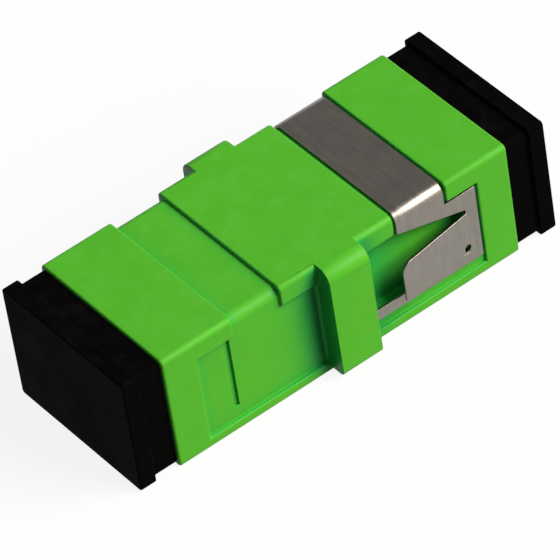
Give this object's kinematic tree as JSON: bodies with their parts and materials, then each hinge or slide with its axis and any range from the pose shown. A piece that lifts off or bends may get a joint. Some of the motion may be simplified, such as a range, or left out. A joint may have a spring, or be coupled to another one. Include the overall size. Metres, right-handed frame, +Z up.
{
  "type": "fibre optic adapter",
  "caption": "Rectangular fibre coupling with a plug socket in each end, stop ears on both sides, a folded steel panel clip and a pull-off dust cap at each end.",
  "frame": {"origin": "middle of the face that the housing rests on, under the middle of the ears", "axes": "+X along the fibre to the rear, the half that carries the clip; +Y to the left seen from the front end; +Z up"},
  "size_m": [0.0346, 0.0156, 0.0094],
  "materials": {
    "green_plastic": "smooth satin",
    "white_ceramic": "polished ceramic",
    "spring_steel": "rolled",
    "black_plastic": "smooth moulded"
  },
  "bodies": {
    "adapter": {"housing": "green_plastic", "latch_holder_front": "green_plastic", "latch_holder_rear": "green_plastic", "split_sleeve": "white_ceramic", "mounting_clip": "spring_steel"},
    "front_cap": {"dust_cap_front": "black_plastic"},
    "rear_cap": {"dust_cap_rear": "black_plastic"}
  },
  "joints": [
    {"name": "front_cap_pull", "type": "slide", "parent": "adapter", "child": "front_cap", "axis": [-1, 0, 0], "range_m": [0, 0.025]},
    {"name": "rear_cap_pull", "type": "slide", "parent": "adapter", "child": "rear_cap", "axis": [1, 0, 0], "range_m": [0, 0.025]}
  ]
}
